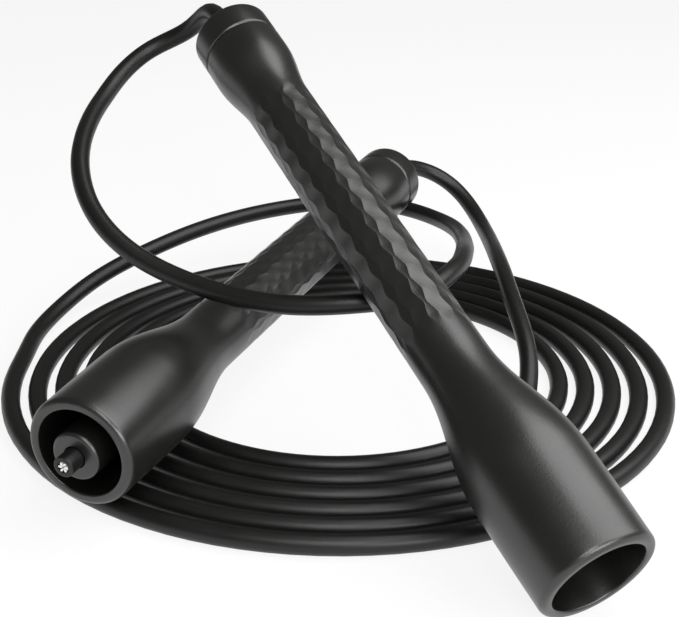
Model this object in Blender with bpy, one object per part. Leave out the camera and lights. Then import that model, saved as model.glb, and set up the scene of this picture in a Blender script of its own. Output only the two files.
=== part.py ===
"""Jump rope: one flexible rope in a flat coil, with a spinning bell-ended handle at each end.

Lengths are in metres and +Z is up. The coil lies on the plane z = 0. Handle A stands on the edge of
its bell beside the coil and leans on the rope, and handle B lies on the coil.
"""

import math

import bmesh
import bpy
from mathutils import Matrix, Vector

MM = 0.001

# Shared fits
GAP = 0.3 * MM
SEGMENTS = 24

# Rope
ROPE_D = 5.0 * MM
CORE_D = 3.1 * MM
CORE_LOBES = 6
LEAD_STEP = 7.0 * MM

# Coil on the table
COIL_CENTRE = Vector((4.48 * MM, 15.7 * MM))
COIL_RADIUS = 90.0 * MM
COIL_PITCH = 7.0 * MM
COIL_TURNS = 5.35
POINTS_PER_TURN = 24
END_LIFT = 0.6 * MM
LIFT_TURNS = 0.15

# Where each handle's mouth is, and which way its axis runs from mouth to cap
MOUTH_A = Vector((54.626 * MM, -99.951 * MM))
YAW_A = math.radians(119.64)
TILT_A = math.radians(25.73)
MOUTH_B = Vector((-54.374 * MM, -60.551 * MM))
YAW_B = math.radians(65.78)
TILT_B = math.radians(3.88)

# Handle, outside, from the mouth to the cap
BELL_R = 13.8 * MM
MOUTH_TUCK = 0.3 * MM
MOUTH_EDGE = 1.5 * MM
BELL_LENGTH = 26.0 * MM
FLARE_LENGTH = 32.0 * MM
GRIP_R = 8.5 * MM
GRIP_LENGTH = 90.0 * MM
NECK_LENGTH = 18.0 * MM
NECK_RIM = 6.0 * MM
CAP_R = 10.6 * MM
CAP_LENGTH = 8.2 * MM
CAP_EDGE = 1.2 * MM
GROOVE_EDGE = 0.5 * MM

# Faceted grip: broad ribbons with a chain of lens-shaped facets between each pair
FACET_RIBBONS = 10
FACET_ROW = 3.72 * MM
FACET_INSET = 5.9 * MM
LENS_HALF = math.radians(5.4)
LENS_SWAY = math.radians(2.75)
LENS_TURN = math.radians(-1.6)

# Handle, inside
BELL_WALL = 3.0 * MM
CAVITY_STRAIGHT = 28.0 * MM
CAVITY_LENGTH = 48.0 * MM
ROPE_PASSAGE = 1.2 * MM
WASHER_R = 6.0 * MM
WASHER_THICKNESS = 1.2 * MM

# Cap and bush
SPIGOT_WALL = 3.2 * MM
SPIGOT_LENGTH = 9.0 * MM
CAP_LIP = 1.8 * MM
CAP_LIP_CLEARANCE = 0.7 * MM
BUSH_WALL = 1.6 * MM
FLANGE_WIDTH = 1.6 * MM
FLANGE_THICKNESS = 1.3 * MM

# Stopper
COLLAR_R = 6.0 * MM
COLLAR_LENGTH = 10.0 * MM
COLLAR_EDGE = 1.0 * MM
STOPPER_B_PROUD = 1.7 * MM
ROPE_END = 4.4 * MM
SCREW_R = 1.5 * MM
SCREW_RECESS = 0.6 * MM

# Points that lead the free rope from handle A's cap to the coil, after its straight start
ROUTE_A = [
    (-33.2, 56.2, 94.3),
    (-39.0, 64.1, 86.3),
    (-51.2, 64.5, 81.8),
    (-59.0, 57.5, 75.6),
    (-62.4, 48.9, 71.0),
    (-64.7, 39.7, 68.3),
    (-66.3, 22.6, 61.8),
    (-61.5, 7.5, 52.4),
    (-50.9, -3.0, 44.7),
    (-36.5, -9.6, 39.3),
    (-13.7, -21.6, 36.7),
    (9.5, -25.8, 39.9),
    (23.7, -19.5, 39.1),
    (29.9, -11.3, 41.5),
    (34.1, -2.0, 40.8),
    (36.0, 9.8, 39.7),
    (37.8, 28.4, 34.3),
    (39.3, 45.0, 29.0),
    (40.4, 62.5, 24.6),
    (39.8, 80.1, 21.6),
    (35.0, 97.5, 18.9),
    (23.7, 111.9, 18.4),
    (6.4, 118.5, 18.2),
    (-11.9, 115.9, 17.2),
    (-28.2, 106.9, 16.8),
    (-41.5, 95.8, 16.2),
    (-54.3, 84.9, 14.2),
    (-70.7, 71.3, 9.8),
    (-80.1, 58.6, 5.1),
    (-85.4, 42.8, 3.1),
]

# Points that lead the free rope from the coil's inner end to handle B's cap, before its straight end
ROUTE_B = [
    (51.2, -10.3, 3.3),
    (54.0, 3.0, 9.2),
    (53.8, 12.7, 13.8),
    (51.7, 28.9, 18.1),
    (51.0, 46.0, 19.9),
    (50.6, 63.9, 19.1),
    (50.9, 80.9, 16.6),
    (50.5, 99.0, 14.8),
    (48.2, 111.1, 16.9),
    (43.9, 118.5, 21.2),
    (37.9, 121.6, 25.4),
    (31.4, 120.9, 28.5),
    (26.4, 117.1, 30.4),
]

# Sizes that follow from the ones above
ROPE_R = ROPE_D / 2
CORE_R = CORE_D / 2
COIL_CENTRE_Z = ROPE_R - ROPE_D / 10
COIL_TOP = COIL_CENTRE_Z + ROPE_R
MOUTH_R = BELL_R - MOUTH_TUCK
CAVITY_R = BELL_R - BELL_WALL
FLARE_END = BELL_LENGTH + FLARE_LENGTH
NECK_START = FLARE_END + GRIP_LENGTH
NECK_END = NECK_START + NECK_LENGTH
SHELL_END = NECK_END + NECK_RIM
CAP_START = SHELL_END + GAP
CAP_END = CAP_START + CAP_LENGTH
FACET_START = FLARE_END + FACET_INSET
FACET_ROWS = int((GRIP_LENGTH - 2 * FACET_INSET) / FACET_ROW)
PASSAGE_R = ROPE_R + ROPE_PASSAGE
SEAT_R = WASHER_R + GAP
WASHER_END = CAVITY_LENGTH - GAP
WASHER_START = WASHER_END - WASHER_THICKNESS
BUSH_BORE = ROPE_R + GAP
BUSH_R = BUSH_BORE + BUSH_WALL
CAP_BORE = BUSH_R + GAP
SPIGOT_R = CAP_R - SPIGOT_WALL
SPIGOT_START = CAP_START - SPIGOT_LENGTH
FLANGE_R = BUSH_R + FLANGE_WIDTH
FLANGE_END = SPIGOT_START - GAP
FLANGE_START = FLANGE_END - FLANGE_THICKNESS
SOCKET_R = max(SPIGOT_R, FLANGE_R) + GAP
SOCKET_START = FLANGE_START - GAP
LEAD_START = CAP_END - CAP_LIP / 2


def surface(name, colour, roughness, metallic=0.0):
    """Make one Principled material."""
    material = bpy.data.materials.new(name)
    material.use_nodes = True
    shader = material.node_tree.nodes["Principled BSDF"]
    shader.inputs["Base Color"].default_value = (*colour, 1.0)
    shader.inputs["Roughness"].default_value = roughness
    shader.inputs["Metallic"].default_value = metallic
    return material


def keep(name, shape, material, frame=None):
    """Turn a finished bmesh into a named object, held by its handle's frame if it has one."""
    bmesh.ops.recalc_face_normals(shape, faces=shape.faces[:])
    mesh = bpy.data.meshes.new(name)
    shape.to_mesh(mesh)
    shape.free()
    mesh.materials.append(material)
    thing = bpy.data.objects.new(name, mesh)
    bpy.context.scene.collection.objects.link(thing)
    thing.parent = frame
    return thing


def spun(outline, closed=True, segments=SEGMENTS):
    """Spin a (radius, height) outline once round Z."""
    shape = bmesh.new()
    corners = [shape.verts.new((radius, 0.0, height)) for radius, height in outline]
    for start, end in zip(corners, corners[1:]):
        shape.edges.new((start, end))
    if closed:
        shape.edges.new((corners[-1], corners[0]))
    bmesh.ops.spin(
        shape,
        geom=shape.verts[:] + shape.edges[:],
        cent=(0.0, 0.0, 0.0),
        axis=(0.0, 0.0, 1.0),
        angle=2 * math.pi,
        steps=segments,
        use_merge=True,
    )
    bmesh.ops.remove_doubles(shape, verts=shape.verts[:], dist=1e-6)
    bmesh.ops.dissolve_degenerate(shape, dist=1e-7, edges=shape.edges[:])
    return shape


def corner(radius, height, size, start, steps=3):
    """Points of a quarter round about (radius, height), counted from an angle in degrees."""
    turns = [math.radians(start + 90 * step / steps) for step in range(steps + 1)]
    return [(radius + size * math.cos(turn), height + size * math.sin(turn)) for turn in turns]


def blend(start, end, share):
    """Ease from one radius to another along half a cosine wave."""
    return start + (end - start) * (1 - math.cos(math.pi * share)) / 2


def shell_outline():
    """Closed outline of the handle shell, outside from mouth to neck and then back inside."""
    outline = corner(MOUTH_R - MOUTH_EDGE, MOUTH_EDGE, MOUTH_EDGE, -90)
    for step in range(1, 4):
        share = step / 3
        height = MOUTH_EDGE + (BELL_LENGTH - MOUTH_EDGE) * share
        outline.append((MOUTH_R + MOUTH_TUCK * math.sin(math.pi / 2 * share), height))
    for step in range(1, 10):
        share = step / 9
        outline.append((blend(BELL_R, GRIP_R, share), BELL_LENGTH + FLARE_LENGTH * share))
    for row in range(FACET_ROWS + 1):
        outline.append((GRIP_R, FACET_START + row * FACET_ROW))
    for step in range(6):
        share = step / 5
        outline.append((blend(GRIP_R, CAP_R, share), NECK_START + NECK_LENGTH * share))
    outline += corner(CAP_R - GROOVE_EDGE, SHELL_END - GROOVE_EDGE, GROOVE_EDGE, 0, 2)
    outline += [(SOCKET_R, SHELL_END), (SOCKET_R, SOCKET_START)]
    outline += [(PASSAGE_R, SOCKET_START), (PASSAGE_R, CAVITY_LENGTH)]
    outline += [(SEAT_R, CAVITY_LENGTH), (SEAT_R, WASHER_START)]
    for step in range(1, 5):
        share = step / 4
        height = WASHER_START + (CAVITY_STRAIGHT - WASHER_START) * share
        outline.append((blend(SEAT_R + GAP, CAVITY_R, share), height))
    outline += [(CAVITY_R, GROOVE_EDGE), (CAVITY_R + GROOVE_EDGE, 0.0)]
    return outline


def facet_grip(shape):
    """Draw the grip's corners together and apart, row by row, with flat facets between them."""
    corners = 2 * FACET_RIBBONS
    for vertex in shape.verts:
        reach = math.hypot(vertex.co.x, vertex.co.y)
        row = round((vertex.co.z - FACET_START) / FACET_ROW)
        height = FACET_START + row * FACET_ROW
        on_row = 0 < row < FACET_ROWS and abs(vertex.co.z - height) < 1e-6
        if not on_row or abs(reach - GRIP_R) > 1e-6:
            continue
        step = round(math.atan2(vertex.co.y, vertex.co.x) * corners / (2 * math.pi))
        lens = (step + 1) // 2
        half = LENS_HALF - LENS_SWAY * (-1) ** (row + lens)
        side = -half if step % 2 else half
        angle = 2 * math.pi * lens / FACET_RIBBONS + LENS_TURN + side
        vertex.co.x = GRIP_R * math.cos(angle)
        vertex.co.y = GRIP_R * math.sin(angle)
    return shape


def cap_outline():
    """Closed outline of the end cap with its spigot and stepped bore."""
    outline = [(CAP_BORE, SPIGOT_START), (SPIGOT_R, SPIGOT_START), (SPIGOT_R, CAP_START)]
    outline += corner(CAP_R - GROOVE_EDGE, CAP_START + GROOVE_EDGE, GROOVE_EDGE, -90, 2)
    outline += corner(CAP_R - CAP_EDGE, CAP_END - CAP_EDGE, CAP_EDGE, 0)
    lip = ROPE_R + CAP_LIP_CLEARANCE
    outline += [(lip, CAP_END), (lip, CAP_END - CAP_LIP), (CAP_BORE, CAP_END - CAP_LIP)]
    return outline


def bush_outline():
    """Closed outline of the flanged bush."""
    top = CAP_END - CAP_LIP - GAP
    outline = [(BUSH_BORE, FLANGE_START), (FLANGE_R, FLANGE_START), (FLANGE_R, FLANGE_END)]
    return outline + [(BUSH_R, FLANGE_END), (BUSH_R, top), (BUSH_BORE, top)]


def collar_outline(start):
    """Closed outline of the stopper collar with rounded outer edges."""
    end = start + COLLAR_LENGTH
    outline = corner(COLLAR_R - COLLAR_EDGE, start + COLLAR_EDGE, COLLAR_EDGE, -90)
    outline += corner(COLLAR_R - COLLAR_EDGE, end - COLLAR_EDGE, COLLAR_EDGE, 0)
    return outline + [(BUSH_BORE, end), (BUSH_BORE, start)]


def screw_outline():
    """Open outline of the grub screw, with a pointed tip and a drive recess."""
    length = COLLAR_R - SCREW_RECESS - BUSH_BORE
    tip = SCREW_R / 2
    outline = [(0.0, 0.0), (tip, 0.0), (SCREW_R, tip), (SCREW_R, length)]
    return outline + [(tip, length), (tip, length - SCREW_R), (0.0, length - SCREW_R)]


def sideways(height, reach):
    """Place a piece in its handle so that its Z axis points along the handle's X axis."""
    return Matrix.Translation((reach, 0.0, height)) @ Matrix.Rotation(math.pi / 2, 4, "Y")


def core_rod(start, end):
    """Extrude the lobed core section along Z."""
    shape = bmesh.new()
    ring = []
    for step in range(SEGMENTS):
        angle = 2 * math.pi * step / SEGMENTS
        radius = CORE_R * (0.8 + 0.2 * math.cos(CORE_LOBES * angle))
        ring.append(shape.verts.new((radius * math.cos(angle), radius * math.sin(angle), start)))
    face = shape.faces.new(ring)
    grown = bmesh.ops.extrude_face_region(shape, geom=[face])["geom"]
    risen = [part for part in grown if isinstance(part, bmesh.types.BMVert)]
    bmesh.ops.translate(shape, verts=risen, vec=(0.0, 0.0, end - start))
    return shape


def handle_frame(name, mouth, height, yaw, tilt):
    """Put an empty at the mouth's centre with its Z axis along the handle."""
    flat = Vector((math.cos(yaw), math.sin(yaw), 0.0)) * math.cos(tilt)
    axis = flat + Vector((0.0, 0.0, math.sin(tilt)))
    frame = bpy.data.objects.new(name, None)
    bpy.context.scene.collection.objects.link(frame)
    turn = axis.to_track_quat("Z", "Y").to_matrix().to_4x4()
    frame.matrix_world = Matrix.Translation((mouth.x, mouth.y, height)) @ turn
    return frame, Vector((mouth.x, mouth.y, height)), axis


def build_handle(side, frame, collar_start):
    """Make every piece of one handle and the straight rope inside it."""
    shell = facet_grip(spun(shell_outline(), True, 2 * FACET_RIBBONS))
    keep(f"handle_shell_{side}", shell, HANDLE_PLASTIC, frame)
    keep(f"end_cap_{side}", spun(cap_outline()), CAP_PLASTIC, frame)
    keep(f"cap_bush_{side}", spun(bush_outline()), BUSH_PLASTIC, frame)

    washer = [(BUSH_BORE, WASHER_START), (WASHER_R, WASHER_START)]
    washer += [(WASHER_R, WASHER_END), (BUSH_BORE, WASHER_END)]
    keep(f"thrust_washer_{side}", spun(washer), WASHER_STEEL, frame)

    collar = keep(f"stopper_collar_{side}", spun(collar_outline(collar_start)), STOPPER, frame)
    middle = collar_start + COLLAR_LENGTH / 2
    hole = [(0.0, 0.0), (SCREW_R + GAP, 0.0), (SCREW_R + GAP, COLLAR_R), (0.0, COLLAR_R)]
    cutter = keep(f"screw_hole_{side}", spun(hole, False, 12), STOPPER, frame)
    cutter.matrix_local = sideways(middle, ROPE_R / 2)
    cutter.hide_render = True
    cutter.display_type = "WIRE"
    cut = collar.modifiers.new("screw hole", "BOOLEAN")
    cut.operation = "DIFFERENCE"
    cut.solver = "EXACT"
    cut.object = cutter
    screw = keep(f"stopper_screw_{side}", spun(screw_outline(), False, 12), SCREW_STEEL, frame)
    screw.matrix_local = sideways(middle, BUSH_BORE)

    tail_end = collar_start - ROPE_END
    bore = CORE_R + GAP
    tail = [(bore, tail_end), (ROPE_R, tail_end), (ROPE_R, LEAD_START), (bore, LEAD_START)]
    keep(f"rope_tail_{side}", spun(tail, True, 12), ROPE_JACKET, frame)
    keep(f"rope_core_{side}", core_rod(tail_end, LEAD_START), ROPE_CORE, frame)


def coil_path():
    """Centre points of the spiral, with a straight run of one diameter at both ends."""
    count = round(COIL_TURNS * POINTS_PER_TURN)
    points = []
    for step in range(count + 1):
        turn = COIL_TURNS * step / count
        angle = math.pi + 2 * math.pi * turn
        radius = COIL_RADIUS - COIL_PITCH * turn
        from_end = min(turn, COIL_TURNS - turn) / LIFT_TURNS
        lift = blend(END_LIFT, 0.0, min(1.0, from_end))
        flat = COIL_CENTRE + radius * Vector((math.cos(angle), math.sin(angle)))
        points.append(Vector((flat.x, flat.y, COIL_CENTRE_Z + lift)))
    turned = 2 * math.pi * COIL_TURNS
    first = Vector((0.0, -1.0, 0.0))
    last = Vector((math.sin(turned), -math.cos(turned), 0.0))
    return [points[0] - first * ROPE_D, *points, points[-1] + last * ROPE_D], first, last


def coil_tube(points):
    """Sweep a six-sided section with a flat underside along the spiral as one tube."""
    drop = COIL_CENTRE_Z
    foot = math.sqrt(ROPE_R**2 - drop**2)
    top = ROPE_R * math.sqrt(3) / 2
    section = [(-foot, -drop), (foot, -drop), (ROPE_R, 0.0), (ROPE_R / 2, top)]
    section += [(-ROPE_R / 2, top), (-ROPE_R, 0.0)]
    shape = bmesh.new()
    rings = []
    for index, point in enumerate(points):
        ahead = points[min(index + 1, len(points) - 1)] - points[max(index - 1, 0)]
        side = Vector((ahead.y, -ahead.x, 0.0)).normalized()
        ring = []
        for across, up in section:
            ring.append(shape.verts.new(point + side * across + Vector((0.0, 0.0, up))))
        rings.append(ring)
    for ring, after in zip(rings, rings[1:]):
        for index in range(len(section)):
            following = (index + 1) % len(section)
            shape.faces.new((ring[index], ring[following], after[following], after[index]))
    shape.faces.new(rings[0])
    shape.faces.new(rings[-1])
    return shape


def least_gap(points):
    """Least clear gap between points of the coil that are at least half a turn apart."""
    apart = POINTS_PER_TURN // 2
    pairs = [(one, two) for one in range(len(points)) for two in range(one + apart, len(points))]
    return min((points[one] - points[two]).length for one, two in pairs) - ROPE_D


def smooth(route, step):
    """Straight first and last stretches, and between them a cubic B-spline led by the route."""
    dense = [route[1]]
    for p0, p1, p2, p3 in zip(route, route[1:], route[2:], route[3:]):
        for part in range(1, 17):
            t = part / 16
            w0 = (1 - t) ** 3
            w1 = 3 * t**3 - 6 * t**2 + 4
            w2 = 1 + 3 * t + 3 * t**2 - 3 * t**3
            w3 = t**3
            dense.append((p0 * w0 + p1 * w1 + p2 * w2 + p3 * w3) / 6)
    length = sum((b - a).length for a, b in zip(dense, dense[1:]))
    count = round(length / step)
    points = [dense[0]]
    walked = 0.0
    for a, b in zip(dense, dense[1:]):
        walked += (b - a).length
        if walked >= length * len(points) / count and len(points) < count:
            points.append(b)
    length += (route[1] - route[0]).length + (route[-1] - route[-2]).length
    return [route[0], *points, route[-2], route[-1]], length


def lead_tube(name, route):
    """Make a round rope tube with closed ends along a route."""
    points, length = smooth(route, LEAD_STEP)
    curve = bpy.data.curves.new(name, "CURVE")
    curve.dimensions = "3D"
    curve.bevel_depth = ROPE_R
    curve.bevel_resolution = 2
    curve.use_fill_caps = True
    spline = curve.splines.new("POLY")
    spline.points.add(len(points) - 1)
    for point, place in zip(spline.points, points):
        point.co = (*place, 1.0)
    curve.materials.append(ROPE_JACKET)
    bpy.context.scene.collection.objects.link(bpy.data.objects.new(name, curve))
    return length


# Start from an empty scene
for leftover in list(bpy.data.objects):
    bpy.data.objects.remove(leftover, do_unlink=True)

HANDLE_PLASTIC = surface("handle_plastic", (0.022, 0.023, 0.021), 0.5)
CAP_PLASTIC = surface("cap_plastic", (0.018, 0.019, 0.017), 0.5)
BUSH_PLASTIC = surface("bush_plastic", (0.60, 0.59, 0.55), 0.4)
WASHER_STEEL = surface("washer_steel", (0.56, 0.57, 0.58), 0.3, 1.0)
STOPPER = surface("stopper_plastic", (0.014, 0.015, 0.014), 0.5)
SCREW_STEEL = surface("screw_steel", (0.30, 0.30, 0.31), 0.35, 1.0)
ROPE_JACKET = surface("rope_jacket", (0.010, 0.010, 0.009), 0.35)
ROPE_CORE = surface("rope_core", (0.85, 0.85, 0.83), 0.6)

# Handles: A stands on its bell's edge, B lies on the coil
height_a = MOUTH_EDGE + (MOUTH_R - MOUTH_EDGE) * math.cos(TILT_A) - MOUTH_EDGE * math.sin(TILT_A)
height_b = COIL_TOP + GAP + MOUTH_R * math.cos(TILT_B)
frame_a, mouth_a, axis_a = handle_frame("handle_frame_a", MOUTH_A, height_a, YAW_A, TILT_A)
frame_b, mouth_b, axis_b = handle_frame("handle_frame_b", MOUTH_B, height_b, YAW_B, TILT_B)
build_handle("a", frame_a, WASHER_START - GAP - COLLAR_LENGTH)
build_handle("b", frame_b, -STOPPER_B_PROUD)

# Coil
path, coil_start_way, coil_end_way = coil_path()
keep("rope_coil", coil_tube(path), ROPE_JACKET)
print(f"least gap of the coil to itself: {least_gap(path) / MM:.2f} mm")

# Leads, each with a straight start at its handle and at the coil
cap_a = mouth_a + axis_a * (LEAD_START + GAP)
cap_b = mouth_b + axis_b * (LEAD_START + GAP)
coil_start = path[0] - coil_start_way * GAP
coil_end = path[-1] + coil_end_way * GAP
free_a = [Vector(place) * MM for place in ROUTE_A]
free_b = [Vector(place) * MM for place in ROUTE_B]
straight = [0.0, ROPE_D, 2 * ROPE_D]
route_a = [cap_a + axis_a * run for run in straight] + free_a
route_a += [coil_start - coil_start_way * run for run in reversed(straight)]
route_b = [coil_end + coil_end_way * run for run in straight] + free_b
route_b += [cap_b + axis_b * run for run in reversed(straight)]
length_a = lead_tube("rope_lead_a", route_a)
length_b = lead_tube("rope_lead_b", route_b)
length_coil = sum((b - a).length for a, b in zip(path, path[1:]))
print(f"lead lengths: {length_a:.3f} m and {length_b:.3f} m, coil: {length_coil:.3f} m")
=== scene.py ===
# %% [markdown]
# This lesson dresses a jump rope: one long plastic rope, laid in a flat coil, with a hollow
# bell-ended handle at each end. The solids come packed, with their joints, and are loaded as a fixed
# frame. Each visible piece is then modelled again, finer, in the same place, in metres.

# %% Load the frame
import math

import bpy
from mathutils import Matrix, Vector


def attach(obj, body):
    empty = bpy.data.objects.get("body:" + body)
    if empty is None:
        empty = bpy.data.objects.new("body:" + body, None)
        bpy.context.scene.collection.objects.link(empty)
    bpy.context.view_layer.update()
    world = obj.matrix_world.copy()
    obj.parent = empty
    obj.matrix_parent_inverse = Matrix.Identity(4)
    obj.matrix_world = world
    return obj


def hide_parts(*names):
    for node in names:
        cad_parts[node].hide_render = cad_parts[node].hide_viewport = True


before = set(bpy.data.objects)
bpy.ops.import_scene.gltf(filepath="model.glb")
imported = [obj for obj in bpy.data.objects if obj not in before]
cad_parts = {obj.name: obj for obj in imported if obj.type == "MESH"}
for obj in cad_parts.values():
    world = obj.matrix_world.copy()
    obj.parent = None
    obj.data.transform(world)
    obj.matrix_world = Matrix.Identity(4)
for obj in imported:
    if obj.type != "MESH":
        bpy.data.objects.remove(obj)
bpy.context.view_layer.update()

# %% [markdown]
# The camera comes first, because everything after it is judged through it. It stands in front of the
# coil, a little above it, and looks slightly down. The lens is fairly long, as for a product on a
# table: it keeps the two handles from spreading apart, as a wide lens would make them do.

# %% Camera
MM = 0.001
CAMERA_PLACE = Vector((3.276, -334.84, 167.356)) * MM
CAMERA_DOWN = math.radians(22.624)
SENSOR_WIDTH, FOCAL_LENGTH = 36.0, 74.46
NEAREST = 10 * MM

scene = bpy.context.scene
scene.view_settings.view_transform = "Standard"
camera_data = bpy.data.cameras.new("camera")
camera_data.sensor_width = SENSOR_WIDTH
camera_data.lens = FOCAL_LENGTH
camera_data.clip_start = NEAREST
camera = bpy.data.objects.new("camera", camera_data)
camera.location = CAMERA_PLACE
camera.rotation_euler = (math.pi / 2 - CAMERA_DOWN, 0.0, 0.0)
scene.collection.objects.link(camera)
scene.camera = camera
print("camera height:", round(CAMERA_PLACE.z / MM), "mm")

# %% [markdown]
# Each handle has a line of its own: the middle of its mouth, and a direction from there to the cap.
# Every turned piece is drawn upright, round the Z axis with the mouth at zero, and is then carried to
# its handle by one matrix. That is easier to think about than drawing it already leaning.

# %% Where the handles are
ROPE_D = 5.0 * MM
ROPE_R = ROPE_D / 2
GAP = 0.3 * MM  # play between two parts that fit together
MOUTH_A = Vector((54.626, -99.951, 11.6588)) * MM
MOUTH_B = Vector((-54.374, -60.551, 18.2691)) * MM
YAW_A, TILT_A = math.radians(119.64), math.radians(25.73)
YAW_B, TILT_B = math.radians(65.78), math.radians(3.88)


def handle_place(mouth, yaw, tilt):
    """The matrix that carries an upright handle to its place, and the handle's direction."""
    flat = Vector((math.cos(yaw), math.sin(yaw), 0.0)) * math.cos(tilt)
    axis = flat + Vector((0.0, 0.0, math.sin(tilt)))
    turn = axis.to_track_quat("Z", "Y").to_matrix().to_4x4()
    return Matrix.Translation(mouth) @ turn, axis


PLACE_A, AXIS_A = handle_place(MOUTH_A, YAW_A, TILT_A)
PLACE_B, AXIS_B = handle_place(MOUTH_B, YAW_B, TILT_B)
print("handle a leans", round(math.degrees(math.asin(AXIS_A.z)), 1), "degrees")

# %% [markdown]
# Colours are written the way a paint chart or a picture editor gives them, and one function turns them
# into the linear values that the renderer counts in. A second small function adds a node to a
# material, so that each finish below reads as a short list.

# %% Helpers for the finishes
MIX_A, MIX_B, MIX_RESULT = 6, 7, 2  # the Mix node's colour sockets; its other kinds share their names
NOISE_LOW, NOISE_HIGH = 0.3, 0.7  # a noise texture seldom leaves this range


def linear(hex_colour):
    """An sRGB colour such as 3a3a38 as linear red, green, blue and alpha."""
    parts = [int(hex_colour[i : i + 2], 16) / 255 for i in (0, 2, 4)]
    return [c / 12.92 if c <= 0.04045 else ((c + 0.055) / 1.055) ** 2.4 for c in parts] + [1.0]


def add_node(material, kind, inputs=(), **settings):
    """Add a node: settings are its own options, inputs are values or links for its sockets."""
    tree = material.node_tree
    node = tree.nodes.new(kind)
    for name, value in settings.items():
        setattr(node, name, value)
    for name, value in dict(inputs).items():
        if isinstance(value, bpy.types.NodeSocket):
            tree.links.new(value, node.inputs[name])
        else:
            node.inputs[name].default_value = value
    return node


def new_finish(name, **sockets):
    """A material with its Principled shader set, and Object coordinates for its patterns."""
    material = bpy.data.materials.new(name)
    material.use_nodes = True
    shader = material.node_tree.nodes["Principled BSDF"]
    for socket, value in sockets.items():
        label = socket.replace("_", " ").title().replace("Ior", "IOR")
        shader.inputs[label].default_value = value
    place = add_node(material, "ShaderNodeTexCoord").outputs["Object"]
    return material, shader, place


def per_mm(size):
    """The scale at which a texture repeats about once in so many millimetres."""
    return 1.0 / (size * MM)


print("a mid grey in linear light:", [round(c, 3) for c in linear("808080")[:3]])

# %% [markdown]
# The rope is extruded PVC: it comes out of a round die and is drawn off hot, so its skin is smooth and
# a little glossy, with long faint swells and a fine satin from the die. Black PVC shows almost nothing
# but its highlights, so the finish lives in the roughness and in a very shallow bump. The real satin
# is far too fine to show, so it is drawn coarser, at a little over half a millimetre.

# %% Finish: extruded PVC
PVC_ROUGH, PVC_SPREAD = 0.41, 0.02
SWELL_MM, SKIN_MM = 9.0, 0.6

# Extruded PVC: near black, with long soft highlights that run along the rope.
pvc, shader, place = new_finish("extruded_pvc", roughness=PVC_ROUGH, specular_ior_level=0.46)
swell = add_node(
    pvc, "ShaderNodeTexNoise", {"Vector": place, "Scale": per_mm(SWELL_MM), "Detail": 2.0}
)
skin = add_node(
    pvc, "ShaderNodeTexNoise", {"Vector": place, "Scale": per_mm(SKIN_MM), "Detail": 3.0}
)
tint = add_node(
    pvc, "ShaderNodeMix",
    {"Factor": swell.outputs["Fac"], MIX_A: linear("080807"), MIX_B: linear("0d0d0c")},
    data_type="RGBA",
)
satin = add_node(
    pvc, "ShaderNodeMapRange",
    {"Value": swell.outputs["Fac"], "From Min": NOISE_LOW, "From Max": NOISE_HIGH,
     "To Min": PVC_ROUGH - PVC_SPREAD, "To Max": PVC_ROUGH + PVC_SPREAD},
)
relief = add_node(
    pvc, "ShaderNodeBump", {"Height": skin.outputs["Fac"], "Strength": 0.08, "Distance": 0.2 * MM}
)
pvc.node_tree.links.new(tint.outputs[MIX_RESULT], shader.inputs["Base Color"])
pvc.node_tree.links.new(satin.outputs["Result"], shader.inputs["Roughness"])
pvc.node_tree.links.new(relief.outputs["Normal"], shader.inputs["Normal"])
print("finish:", pvc.name)

# %% [markdown]
# The rope leaves the cap of handle A and swings out and down in a wide bow. It crosses over handle B
# and under handle A, goes round the back, and lies down on the table as a flat spiral. From the inside
# of the spiral it rises again to the cap of handle B. The spiral follows from a few sizes, and each
# free run is led by a list of points in millimetres: the curve passes smoothly near them.

# %% Route of the rope
COIL_CENTRE = Vector((4.48, 15.7)) * MM
COIL_RADIUS, COIL_PITCH, COIL_TURNS = 90.0 * MM, 7.0 * MM, 5.35
COIL_Z = 2.3 * MM
END_LIFT, LIFT_TURNS = 0.3 * MM, 0.15
CAP_END = 180.5 * MM
LEAD_START = CAP_END - 0.9 * MM
ROUTE_A = [
    (-33.2, 56.2, 94.3), (-39.0, 64.1, 86.3), (-51.2, 64.5, 81.8), (-59.0, 57.5, 75.6),
    (-62.4, 48.9, 71.0), (-64.7, 39.7, 68.3), (-66.3, 22.6, 61.8), (-61.5, 7.5, 52.4),
    (-50.9, -3.0, 44.7), (-36.5, -9.6, 39.3), (-13.7, -21.6, 36.7), (9.5, -25.8, 39.9),
    (23.7, -19.5, 39.1), (29.9, -11.3, 41.5), (34.1, -2.0, 40.8), (36.0, 9.8, 39.7),
    (37.8, 28.4, 34.3), (39.3, 45.0, 29.0), (40.4, 62.5, 24.6), (39.8, 80.1, 21.6),
    (35.0, 97.5, 18.9), (23.7, 111.9, 18.4), (6.4, 118.5, 18.2), (-11.9, 115.9, 17.2),
    (-28.2, 106.9, 16.8), (-41.5, 95.8, 16.2), (-54.3, 84.9, 14.2), (-70.7, 71.3, 9.8),
    (-80.1, 58.6, 5.1), (-85.4, 42.8, 3.1),
]
ROUTE_B = [
    (51.2, -10.3, 3.3), (54.0, 3.0, 9.2), (53.8, 12.7, 13.8), (51.7, 28.9, 18.1),
    (51.0, 46.0, 19.9), (50.6, 63.9, 19.1), (50.9, 80.9, 16.6), (50.5, 99.0, 14.8),
    (48.2, 111.1, 16.9), (43.9, 118.5, 21.2), (37.9, 121.6, 25.4), (31.4, 120.9, 28.5),
    (26.4, 117.1, 30.4),
]
print("route points:", len(ROUTE_A), "and", len(ROUTE_B))

# %% [markdown]
# A rope can't make a corner, so its middle line must not have one. A cubic B-spline keeps the bend
# itself smooth, which a simple curve through every point would not. At both caps and at both ends of
# the spiral the first points lie in line, because a rope leaves straight where it is held.

# %% Middle line of the rope


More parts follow.
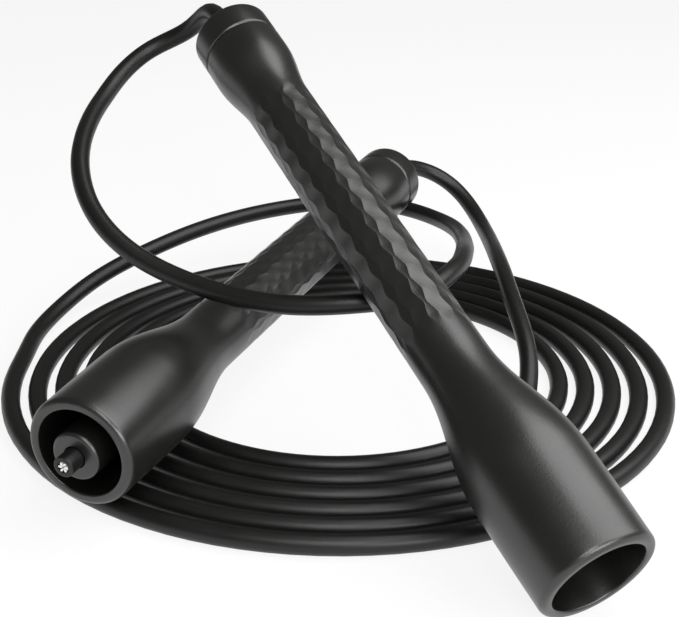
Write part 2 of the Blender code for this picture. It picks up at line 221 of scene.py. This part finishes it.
def ease(start, end, share):
    """Go from one value to another along half a cosine wave."""
    return start + (end - start) * (1 - math.cos(math.pi * share)) / 2


def spiral(points_per_turn=96):
    """Middle line of the coil, with its ends lifted a little and running straight for one diameter."""
    count = round(COIL_TURNS * points_per_turn)
    points = []
    for step in range(count + 1):
        turn = COIL_TURNS * step / count
        angle = math.pi + 2 * math.pi * turn
        lift = ease(END_LIFT, 0.0, min(1.0, min(turn, COIL_TURNS - turn) / LIFT_TURNS))
        outward = Vector((math.cos(angle), math.sin(angle)))
        flat = COIL_CENTRE + (COIL_RADIUS - COIL_PITCH * turn) * outward
        points.append(Vector((flat.x, flat.y, COIL_Z + lift)))
    whole_turn = 2 * math.pi * COIL_TURNS
    first = Vector((0.0, -1.0, 0.0))
    last = Vector((math.sin(whole_turn), -math.cos(whole_turn), 0.0))
    return [points[0] - first * ROPE_D, *points, points[-1] + last * ROPE_D], first, last


def smooth(route, per_stretch=12):
    """Straight first and last stretches, and between them a cubic B-spline led by the route."""
    dense = [route[0], route[1]]
    for p0, p1, p2, p3 in zip(route, route[1:], route[2:], route[3:]):
        for part in range(1, per_stretch + 1):
            t = part / per_stretch
            w0 = (1 - t) ** 3
            w1 = 3 * t**3 - 6 * t**2 + 4
            w2 = 1 + 3 * t + 3 * t**2 - 3 * t**3
            dense.append((p0 * w0 + p1 * w1 + p2 * w2 + p3 * t**3) / 6)
    return [*dense, route[-1]]


coil, coil_first, coil_last = spiral()
cap_a = MOUTH_A + AXIS_A * (LEAD_START + GAP)
cap_b = MOUTH_B + AXIS_B * (LEAD_START + GAP)
straight = (0.0, ROPE_D, 2 * ROPE_D)
lead_a = [cap_a + AXIS_A * reach for reach in straight]
lead_a += [Vector(point) * MM for point in ROUTE_A]
lead_a += [coil[0] - coil_first * reach for reach in reversed(straight)]
lead_b = [coil[-1] + coil_last * reach for reach in straight]
lead_b += [Vector(point) * MM for point in ROUTE_B]
lead_b += [cap_b + AXIS_B * reach for reach in reversed(straight)]
rope_line = smooth(lead_a) + coil[1:-1] + smooth(lead_b)

# %% [markdown]
# The rope could be a chain of short tubes, but a rope is one thing, so it is one curve with a round
# bevel. It stands for the coil and for both free runs.

# %% The free rope
rope_curve = bpy.data.curves.new("free_rope", "CURVE")
rope_curve.dimensions = "3D"
rope_curve.bevel_depth = ROPE_R
rope_curve.bevel_resolution = 5
rope_curve.use_fill_caps = True
run = rope_curve.splines.new("POLY")
run.points.add(len(rope_line) - 1)
for knot, point in zip(run.points, rope_line):
    knot.co = (*point, 1.0)
run.use_smooth = True
rope_curve.materials.append(pvc)
free_rope = bpy.data.objects.new("free_rope", rope_curve)
scene.collection.objects.link(free_rope)
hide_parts("rope_lead_a", "rope_coil", "rope_lead_b")
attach(free_rope, "rope")
print("free rope made")

# %% [markdown]
# Both handles are moulded in ABS. The mould was spark-eroded, which leaves a fine even grain: the
# plastic is satin, not shiny, and its highlights are broad and soft. Under white light this black is a
# little green. The grain of a tenth of a millimetre is too fine to show, so it is drawn at half a
# millimetre.

# %% Finish: moulded ABS
GRAIN_MM, MOTTLE_MM = 0.5, 14.0
GLOSSIER, DULLER = 0.03, 0.04


def moulded(name, dark, pale, rough):
    """Satin black ABS with a fine grain, a faint mottle and slightly uneven gloss."""
    material, shader, place = new_finish(name, roughness=rough, specular_ior_level=0.9)
    grain = add_node(
        material, "ShaderNodeTexNoise", {"Vector": place, "Scale": per_mm(GRAIN_MM), "Detail": 2.0}
    )
    mottle = add_node(
        material, "ShaderNodeTexNoise", {"Vector": place, "Scale": per_mm(MOTTLE_MM), "Detail": 3.0}
    )
    tint = add_node(
        material, "ShaderNodeMix",
        {"Factor": mottle.outputs["Fac"], MIX_A: linear(dark), MIX_B: linear(pale)},
        data_type="RGBA",
    )
    satin = add_node(
        material, "ShaderNodeMapRange",
        {"Value": mottle.outputs["Fac"], "From Min": NOISE_LOW, "From Max": NOISE_HIGH,
         "To Min": rough - GLOSSIER, "To Max": rough + DULLER},
    )
    relief = add_node(
        material, "ShaderNodeBump",
        {"Height": grain.outputs["Fac"], "Strength": 0.12, "Distance": 0.2 * MM},
    )
    links = material.node_tree.links
    links.new(tint.outputs[MIX_RESULT], shader.inputs["Base Color"])
    links.new(satin.outputs["Result"], shader.inputs["Roughness"])
    links.new(relief.outputs["Normal"], shader.inputs["Normal"])
    return material


# Moulded ABS: a broad grey sheen on black, which shows every change of form in the handle.
handle_abs = moulded("moulded_abs_handle", "0b0d09", "0f110d", 0.33)
# The cap and the collar are the same plastic, a touch darker, with the same soft sheen.
cap_abs = moulded("moulded_abs_cap", "0a0b09", "0e0f0c", 0.32)
collar_abs = moulded("moulded_abs_collar", "0a0b09", "0e0f0c", 0.33)
print("finishes:", handle_abs.name, cap_abs.name, collar_abs.name)

# %% [markdown]
# Every handle piece is round, so it is turned as on a lathe. An outline is drawn point by point on one
# side of the axis, by extruding a single vertex, and is spun once round. The alternative, a cylinder
# with many edited rings, gives the same surface but hides the outline that a maker would measure.

# %% A lathe
MERGE_WITHIN = 0.002 * MM


def only(piece):
    """Leave edit mode and select one piece alone."""
    if bpy.context.mode != "OBJECT":
        bpy.ops.object.mode_set(mode="OBJECT")
    bpy.ops.object.select_all(action="DESELECT")
    if piece:
        piece.select_set(True)
        bpy.context.view_layer.objects.active = piece


def turned(name, outline, steps):
    """Spin a closed (radius, height) outline once round the Z axis."""
    only(None)
    bpy.ops.mesh.primitive_plane_add(size=MM)
    piece = bpy.context.object
    piece.name = piece.data.name = name
    bpy.ops.object.mode_set(mode="EDIT")
    bpy.ops.mesh.merge(type="CENTER")
    bpy.ops.transform.translate(value=(outline[0][0], 0.0, outline[0][1]))
    for (r0, h0), (r1, h1) in zip(outline, outline[1:] + outline[:1]):
        bpy.ops.mesh.extrude_vertices_move(
            TRANSFORM_OT_translate={"value": (r1 - r0, 0.0, h1 - h0)}
        )
    bpy.ops.mesh.select_all(action="SELECT")
    bpy.ops.mesh.spin(
        steps=steps, angle=2 * math.pi, center=(0.0, 0.0, 0.0), axis=(0.0, 0.0, 1.0)
    )
    bpy.ops.mesh.select_all(action="SELECT")
    bpy.ops.mesh.remove_doubles(threshold=MERGE_WITHIN)
    bpy.ops.mesh.normals_make_consistent(inside=False)
    bpy.ops.object.mode_set(mode="OBJECT")
    return piece


def carry(piece, place, finish, smooth_angle=40.0):
    """Shade a finished piece, give it its finish and put its place into its mesh."""
    only(piece)
    bpy.ops.object.shade_smooth_by_angle(angle=math.radians(smooth_angle))
    piece.data.materials.clear()
    piece.data.materials.append(finish)
    piece.matrix_world = place
    bpy.ops.object.transform_apply(location=True, rotation=True, scale=True)


def round_edge(radius, height, size, start, steps):
    """Points of a quarter round about (radius, height), from an angle in degrees."""
    angles = [math.radians(start + 90 * step / steps) for step in range(steps + 1)]
    return [(radius + size * math.cos(a), height + size * math.sin(a)) for a in angles]


print("lathe ready")

# %% [markdown]
# The shell is the body of a handle: a wide hollow bell, a smooth flare, a slim faceted grip and a neck
# that opens again to meet the cap. Its outline runs up the outside and back down the inside, through
# the socket of the cap and the wide cavity of the bell, so that the open mouth has a real wall.

# %% Outline of the shell
BELL_R, MOUTH_TUCK, MOUTH_EDGE = 13.8 * MM, 0.3 * MM, 1.5 * MM
MOUTH_R = BELL_R - MOUTH_TUCK
GRIP_R, CAP_R = 8.5 * MM, 10.6 * MM
BELL_END, FLARE_END, NECK_START = 26.0 * MM, 58.0 * MM, 149.6 * MM
NECK_END, SHELL_END = 166.0 * MM, 172.0 * MM
GROOVE_EDGE = 0.5 * MM
SOCKET_R, SOCKET_START = 7.7 * MM, 161.4 * MM
PASSAGE_R, SEAT_R = 3.7 * MM, 6.3 * MM
CAVITY_R, CAVITY_STRAIGHT = 10.8 * MM, 28.0 * MM
CAVITY_END, WASHER_START = 48.0 * MM, 46.5 * MM
FACET_ROW, FACET_START, FACET_ROWS, SUB_ROWS = 3.72 * MM, 63.9 * MM, 23, 6
FACET_END = FACET_START + FACET_ROWS * FACET_ROW
BELL_STEPS, FLARE_STEPS, PLAIN_STEPS, NECK_STEPS, CAVITY_STEPS = 10, 24, 5, 16, 12


def shell_outline():
    """Closed outline of the shell from the mouth's edge, up the outside and back down the inside."""
    line = round_edge(MOUTH_R - MOUTH_EDGE, MOUTH_EDGE, MOUTH_EDGE, start=-90, steps=8)
    for step in range(1, BELL_STEPS + 1):
        radius = MOUTH_R + MOUTH_TUCK * math.sin(math.pi / 2 * step / BELL_STEPS)
        line.append((radius, MOUTH_EDGE + (BELL_END - MOUTH_EDGE) * step / BELL_STEPS))
    for step in range(1, FLARE_STEPS + 1):
        radius = ease(BELL_R, GRIP_R, step / FLARE_STEPS)
        line.append((radius, BELL_END + (FLARE_END - BELL_END) * step / FLARE_STEPS))
    for step in range(1, PLAIN_STEPS):
        line.append((GRIP_R, FLARE_END + (FACET_START - FLARE_END) * step / PLAIN_STEPS))
    for row in range(FACET_ROWS * SUB_ROWS + 1):
        line.append((GRIP_R, FACET_START + row * FACET_ROW / SUB_ROWS))
    for step in range(NECK_STEPS + 1):
        share = step / NECK_STEPS
        line.append((ease(GRIP_R, CAP_R, share), NECK_START + (NECK_END - NECK_START) * share))
    line += round_edge(CAP_R - GROOVE_EDGE, SHELL_END - GROOVE_EDGE, GROOVE_EDGE, start=0, steps=4)
    line += [(SOCKET_R, SHELL_END), (SOCKET_R, SOCKET_START), (PASSAGE_R, SOCKET_START)]
    line += [(PASSAGE_R, CAVITY_END), (SEAT_R, CAVITY_END), (SEAT_R, WASHER_START)]
    for step in range(1, CAVITY_STEPS + 1):
        radius = ease(SEAT_R + GAP, CAVITY_R, step / CAVITY_STEPS)
        line.append((radius, WASHER_START + (CAVITY_STRAIGHT - WASHER_START) * step / CAVITY_STEPS))
    return line + round_edge(CAVITY_R + GROOVE_EDGE, GROOVE_EDGE, GROOVE_EDGE, start=180, steps=4)


print("shell outline:", len(shell_outline()), "points")

# %% [markdown]
# The grip is cut into facets: ten broad flat ribbons run along it, and between each pair runs a chain
# of narrow, very slightly hollow lenses that swell and shrink in turn, while their neighbours shrink
# and swell. Seen across, the grip is a polygon whose corners wander. So the spun vertices are slid
# sideways until some of them lie on the wandering corners, and are then drawn in to the sides between.

# %% The faceted grip
RIBBONS = 10
LENS_SHARES = (0.0, 0.06, 0.28, 0.5, 0.72, 0.94)
RIBBON_SHARES = (0.0, 0.04, 0.22, 0.41, 0.59, 0.78, 0.96)
SECTOR_STEPS = len(LENS_SHARES) + len(RIBBON_SHARES)
AROUND = RIBBONS * SECTOR_STEPS
LENS_HALF, LENS_SWAY = math.radians(5.4), math.radians(3.1)
LENS_TURN = math.radians(-1.6)
LENS_SCOOP = 0.025
ZIGZAG = 0.93  # 0 would be a plain wave, 1 a zigzag with sharp turns
TINY = 0.001 * MM


def wave(height):
    """A zigzag with rounded turns, once every two facet rows."""
    swing = math.cos(math.pi * (height - FACET_START) / FACET_ROW)
    return math.asin(ZIGZAG * swing) / math.asin(ZIGZAG)


def half_lens(index, height):
    """Half the angle of a lens at a height: chains that are neighbours swell in turn."""
    return LENS_HALF - LENS_SWAY * (-1) ** index * wave(height)


def facet_sides(index, step, height):
    """The two angles between which a facet lies, and how hollow it is."""
    sector = 2 * math.pi / RIBBONS
    middle = index * sector + LENS_TURN
    half = half_lens(index, height)
    if step < len(LENS_SHARES):
        return middle - half, middle + half, LENS_SCOOP
    return middle + half, (index + 1) * sector + LENS_TURN - half_lens(index + 1, height), 0.0


def facet_grip(piece):
    """Slide and draw in the vertices of the grip so that they lie on its facets."""
    for vertex in piece.data.vertices:
        height = vertex.co.z
        on_grip = FACET_START - TINY < height < FACET_END + TINY
        if not on_grip or abs(math.hypot(vertex.co.x, vertex.co.y) - GRIP_R) > 10 * TINY:
            continue
        base = math.atan2(vertex.co.y, vertex.co.x)
        step = round(base * AROUND / (2 * math.pi)) + len(LENS_SHARES) // 2
        index, step = divmod(step, SECTOR_STEPS)
        start, end, scoop = facet_sides(index, step, height)
        share = (LENS_SHARES + RIBBON_SHARES)[step]
        angle = start + (end - start) * share
        reach = GRIP_R * math.cos((end - start) / 2) / math.cos(angle - (start + end) / 2)
        reach -= GRIP_R * (end - start) * scoop * 4 * share * (1 - share)
        from_end = min(height - FACET_START, FACET_END - height)
        fade = ease(0.0, 1.0, min(1.0, max(0.0, from_end / FACET_ROW)))
        angle = base + math.remainder(angle - base, 2 * math.pi) * fade
        reach = GRIP_R + (reach - GRIP_R) * fade
        vertex.co.x, vertex.co.y = reach * math.cos(angle), reach * math.sin(angle)


print("vertices round the grip:", AROUND)

# %% [markdown]
# Both handles have the same shape, so one function makes both shells: it turns the outline, cuts the
# facets while the shell still stands upright, and only then carries the shell to its place.

# %% The two shells


def make_shell(side, place):
    """Turn, facet and place one handle shell."""
    shell = turned(f"bell_handle_{side}", shell_outline(), AROUND)
    facet_grip(shell)
    carry(shell, place, handle_abs)
    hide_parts(f"handle_shell_{side}")
    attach(shell, f"handle_{side}")
    print(shell.name, len(shell.data.polygons), "faces")


make_shell("a", PLACE_A)
make_shell("b", PLACE_B)

# %% [markdown]
# A cap closes the slim end of each handle. It is pushed into the shell on a short spigot, and a fine
# groove stays between the two, where light catches. The rope comes out through a hole in its middle.
# It is a separate moulding on the real handle, so it is a piece of its own here too.

# %% End caps
CAP_START = 172.3 * MM
CAP_EDGE, CAP_LIP = 1.2 * MM, 0.8 * MM
CAP_BORE, SPIGOT_R, SPIGOT_START = 4.7 * MM, 7.4 * MM, 163.3 * MM
LIP_R, LIP_DEPTH = 3.2 * MM, 1.8 * MM
CAP_AROUND = 96


def cap_outline():
    """Closed outline of a cap with its spigot, rounded edges and stepped bore."""
    line = [(CAP_BORE, SPIGOT_START), (SPIGOT_R, SPIGOT_START), (SPIGOT_R, CAP_START)]
    line += round_edge(CAP_R - CAP_LIP, CAP_START + CAP_LIP, CAP_LIP, start=-90, steps=6)
    line += round_edge(CAP_R - CAP_EDGE, CAP_END - CAP_EDGE, CAP_EDGE, start=0, steps=8)
    line += round_edge(LIP_R + GAP, CAP_END - GAP, GAP, start=90, steps=3)
    return line + [(LIP_R, CAP_END - LIP_DEPTH), (CAP_BORE, CAP_END - LIP_DEPTH)]


def make_cap(side, place):
    """Turn and place one end cap."""
    cap = turned(f"groove_cap_{side}", cap_outline(), CAP_AROUND)
    carry(cap, place, cap_abs)
    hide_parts(f"end_cap_{side}")
    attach(cap, f"handle_{side}")
    print(cap.name, len(cap.data.polygons), "faces")


make_cap("a", PLACE_A)
make_cap("b", PLACE_B)

# %% [markdown]
# Inside each bell a collar is clamped on the rope by a small grub screw. It is what stops the rope from
# pulling out, and it sets how long the rope is. On handle B it stands just proud of the mouth; on
# handle A it sits deep inside. The screw's hole is cut with a boolean, as a drill would cut it.

# %% Stopper collars
COLLAR_R, COLLAR_LENGTH, COLLAR_EDGE = 6.0 * MM, 10.0 * MM, 1.0 * MM
COLLAR_BORE = ROPE_R + GAP
COLLAR_A, COLLAR_B = 36.2 * MM, -1.7 * MM
SCREW_HOLE_R = 1.8 * MM
COLLAR_AROUND = 72


def make_collar(side, place, start):
    """Turn a collar, drill its screw hole and place it."""
    end = start + COLLAR_LENGTH
    inset = COLLAR_R - COLLAR_EDGE
    line = round_edge(inset, start + COLLAR_EDGE, COLLAR_EDGE, start=-90, steps=6)
    line += round_edge(inset, end - COLLAR_EDGE, COLLAR_EDGE, start=0, steps=6)
    line += [(COLLAR_BORE, end), (COLLAR_BORE, start)]
    collar = turned(f"rope_stopper_{side}", line, COLLAR_AROUND)
    only(None)
    bpy.ops.mesh.primitive_cylinder_add(
        vertices=32, radius=SCREW_HOLE_R, depth=COLLAR_R, rotation=(0.0, math.pi / 2, 0.0),
        location=(ROPE_R / 2 + COLLAR_R / 2, 0.0, start + COLLAR_LENGTH / 2),
    )
    drill = bpy.context.object
    only(collar)
    cut = collar.modifiers.new("screw hole", "BOOLEAN")
    cut.solver = "EXACT"
    cut.object = drill
    bpy.ops.object.modifier_apply(modifier=cut.name)
    bpy.data.objects.remove(drill, do_unlink=True)
    carry(collar, place, collar_abs)
    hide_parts(f"stopper_collar_{side}")
    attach(collar, f"stopper_{side}")
    print(collar.name, len(collar.data.polygons), "faces")


make_collar("a", PLACE_A, COLLAR_A)
make_collar("b", PLACE_B, COLLAR_B)

# %% [markdown]
# The rope runs straight through each handle and ends a few millimetres beyond its collar. Cut across,
# it shows a black jacket round a white core, taken here for polyester fibre, a usual core for a rope.
# A single filament is far too thin to show, so the strands are drawn at four tenths of a millimetre.

# %% Finish: polyester fibre
STRAND_MM = 0.4

# Polyester fibre: white and matt, because the cut filaments scatter the light.
fibre, shader, place = new_finish("polyester_fibre", roughness=0.7)
strands = add_node(
    fibre, "ShaderNodeTexNoise", {"Vector": place, "Scale": per_mm(STRAND_MM), "Detail": 2.0}
)
tint = add_node(
    fibre, "ShaderNodeMix",
    {"Factor": strands.outputs["Fac"], MIX_A: linear("d9dbd6"), MIX_B: linear("f2f3f0")},
    data_type="RGBA",
)
relief = add_node(
    fibre, "ShaderNodeBump",
    {"Height": strands.outputs["Fac"], "Strength": 0.3, "Distance": 0.1 * MM},
)
fibre.node_tree.links.new(tint.outputs[MIX_RESULT], shader.inputs["Base Color"])
fibre.node_tree.links.new(relief.outputs["Normal"], shader.inputs["Normal"])
print("finish:", fibre.name)

# %% [markdown]
# The jacket is a plain tube, so it is turned like the handle's pieces. The core is six bundles of
# fibre, pressed together like petals. It could be a pattern on one flat disc, but real bundles keep
# their dark gaps from every side. So one is drawn as a petal, extruded, and copied round the middle.

# %% Rope ends and cores
ROPE_END = 4.4 * MM
CORE_BORE, CUT_EDGE = 1.4 * MM, 0.25 * MM
PETALS, PETAL_TAPER = 6, 0.3
PETAL_MID, PETAL_LONG, PETAL_WIDE, PETAL_SLANT = 0.78 * MM, 0.48 * MM, 0.25 * MM, 0.08 * MM
JACKET_AROUND = 48


def make_rope_end(side, place, collar_start):
    """The jacket of the rope inside one handle, with a softly rounded cut edge."""
    start = collar_start - ROPE_END
    line = round_edge(ROPE_R - CUT_EDGE, start + CUT_EDGE, CUT_EDGE, start=-90, steps=4)
    line += [(ROPE_R, LEAD_START), (CORE_BORE, LEAD_START), (CORE_BORE, start)]
    jacket = turned(f"rope_jacket_{side}", line, JACKET_AROUND)
    carry(jacket, place, pvc)
    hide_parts(f"rope_tail_{side}")
    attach(jacket, "rope")
    print(jacket.name, len(jacket.data.polygons), "faces")


def make_core(side, place, collar_start):
    """Six fibre bundles: one is drawn as a petal and extruded, then copied round the rope's middle."""
    start = collar_start - ROPE_END
    only(None)
    bpy.ops.mesh.primitive_circle_add(vertices=24, radius=1.0, fill_type="NGON")
    core = bpy.context.object
    core.name = core.data.name = f"fibre_core_{side}"
    for vertex in core.data.vertices:
        out, aside = vertex.co.x, vertex.co.y * (1 + PETAL_TAPER * vertex.co.x)
        vertex.co = (PETAL_MID + PETAL_LONG * out, PETAL_WIDE * aside + PETAL_SLANT * out, start)
    bpy.ops.object.mode_set(mode="EDIT")
    bpy.ops.mesh.extrude_region_move(
        TRANSFORM_OT_translate={"value": (0.0, 0.0, LEAD_START - start)}
    )
    bpy.ops.mesh.select_all(action="SELECT")
    for _ in range(PETALS - 1):
        bpy.ops.mesh.duplicate()
        bpy.ops.transform.rotate(
            value=2 * math.pi / PETALS, orient_axis="Z", center_override=(0.0, 0.0, 0.0)
        )
    bpy.ops.mesh.select_all(action="SELECT")
    bpy.ops.mesh.normals_make_consistent(inside=False)
    carry(core, place, fibre, smooth_angle=30.0)
    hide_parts(f"rope_core_{side}")
    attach(core, "rope")
    print(core.name, len(core.data.polygons), "faces")


for side, place, collar_start in (("a", PLACE_A, COLLAR_A), ("b", PLACE_B, COLLAR_B)):
    make_rope_end(side, place, collar_start)
    make_core(side, place, collar_start)

# %% [markdown]
# Bushes, washers and grub screws sit deep in the handles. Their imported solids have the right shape, so
# they stay, and only get better finishes: milky acetal for the bush, which slides well on the rope,
# bright zinc plate for the washer, and blackened steel for the screw.

# %% Finishes: acetal, zinc plate, blackened steel
UNEVEN = 0.06


def mottled(name, dark, pale, size, rough, metallic=0.0):
    """A plain finish whose colour and gloss vary a little over a given size in millimetres."""
    material, shader, place = new_finish(name, roughness=rough, metallic=metallic)
    noise = add_node(
        material, "ShaderNodeTexNoise", {"Vector": place, "Scale": per_mm(size), "Detail": 3.0}
    )
    tint = add_node(
        material, "ShaderNodeMix",
        {"Factor": noise.outputs["Fac"], MIX_A: linear(dark), MIX_B: linear(pale)},
        data_type="RGBA",
    )
    gloss = add_node(
        material, "ShaderNodeMapRange",
        {"Value": noise.outputs["Fac"], "To Min": rough - UNEVEN, "To Max": rough + UNEVEN},
    )
    material.node_tree.links.new(tint.outputs[MIX_RESULT], shader.inputs["Base Color"])
    material.node_tree.links.new(gloss.outputs["Result"], shader.inputs["Roughness"])
    return material


# Turned acetal: milky and waxy. Zinc plate: a cloudy bright grey. Blackened steel: a dark, dull shine.
acetal = mottled("turned_acetal", "cfcdc4", "dad8d0", size=4.0, rough=0.42)
zinc = mottled("zinc_plated_steel", "b8bbbd", "c9cccd", size=2.0, rough=0.32, metallic=1.0)
blackened = mottled("blackened_steel", "2e2e30", "3a3a3c", size=1.0, rough=0.38, metallic=1.0)
for kind, finish in (("cap_bush", acetal), ("thrust_washer", zinc), ("stopper_screw", blackened)):
    for side in "ab":
        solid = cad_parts[f"{kind}_{side}"]
        solid.data.materials.clear()
        solid.data.materials.append(finish)
print("kept solids finished")

# %% [markdown]
# The rope lies on a wide white table. To make it white with more light would wash the rope out, so the
# table glows a little where it is looked at or mirrored. The rest of it is matt paint, a real surface
# that takes the rope's soft shadow.

# %% Table
TABLE_Z, TABLE_SIZE = -0.2 * MM, 20.0
TABLE_GLOW = 0.87

only(None)
bpy.ops.mesh.primitive_plane_add(size=TABLE_SIZE, location=(0.0, 0.0, TABLE_Z))
table = bpy.context.object
table.name = "table"
bpy.ops.object.transform_apply(location=True, rotation=True, scale=True)
white_table = bpy.data.materials.new("white_table")
white_table.use_nodes = True
white_table.node_tree.nodes.clear()
path = add_node(white_table, "ShaderNodeLightPath").outputs
looks = add_node(
    white_table, "ShaderNodeMath", {0: path["Is Camera Ray"], 1: path["Is Glossy Ray"]},
    operation="ADD",
)
looks = add_node(
    white_table, "ShaderNodeMath", {0: looks.outputs[0], 1: path["Is Transmission Ray"]},
    operation="ADD", use_clamp=True,
)
share = add_node(
    white_table, "ShaderNodeMath", {0: looks.outputs[0], 1: TABLE_GLOW}, operation="MULTIPLY"
)
shine = add_node(white_table, "ShaderNodeEmission", {"Color": linear("ffffff"), "Strength": 1.0})
matt = add_node(white_table, "ShaderNodeBsdfDiffuse", {"Color": linear("f4f4f4")})
both = add_node(
    white_table, "ShaderNodeMixShader",
    {0: share.outputs[0], 1: matt.outputs[0], 2: shine.outputs[0]},
)
add_node(white_table, "ShaderNodeOutputMaterial", {"Surface": both.outputs[0]})
table.data.materials.append(white_table)
print("table ready")

# %% [markdown]
# The studio round the table is dim, and that matters as much as the lamps: black plastic has hardly any
# colour of its own and shows what it mirrors, so a dark room keeps it black.

# %% Studio
ROOM_LEVEL = 0.17

studio = bpy.data.worlds.new("dim_studio")
studio.use_nodes = True
scene.world = studio
studio.node_tree.nodes.clear()
room = add_node(
    studio, "ShaderNodeBackground", {"Color": linear("f5f8f0"), "Strength": ROOM_LEVEL}
)
add_node(studio, "ShaderNodeOutputWorld", {"Surface": room.outputs[0]})
print("studio ready")

# %% [markdown]
# Three soft lamps light it. A large one high at the right draws the broad grey highlight along both
# handles. A smaller one in front draws the highlights on the rope's front turns, and a low strip at the
# front right is caught by the rounded lips of the caps, as the bright line in their grooves.

# %% Lamps
COIL_AIM, HANDLE_AIM = (0.0, 0.0, 0.03), (0.0, 0.0, 0.05)


def soft_lamp(name, place, aim, width, height, watts):
    """An oblong area lamp at a place, turned towards a point."""
    lamp = bpy.data.lights.new(name, "AREA")
    lamp.shape = "RECTANGLE"
    lamp.size, lamp.size_y = width, height
    lamp.energy = watts
    holder = bpy.data.objects.new(name, lamp)
    holder.location = place
    holder.rotation_euler = (Vector(aim) - Vector(place)).to_track_quat("-Z", "Y").to_euler()
    holder.visible_camera = False
    scene.collection.objects.link(holder)


soft_lamp("key", (0.29, -0.03, 0.45), COIL_AIM, width=0.54, height=0.58, watts=3.1)
soft_lamp("front", (0.0, -0.61, 0.60), COIL_AIM, width=0.26, height=0.46, watts=2.6)
soft_lamp("low strip", (0.39, -0.67, 0.27), HANDLE_AIM, width=0.56, height=0.26, watts=3.5)
print("lamps ready")

# %% [markdown]
# Last, the view layer is brought up to date.

# %% Finish
bpy.context.view_layer.update()
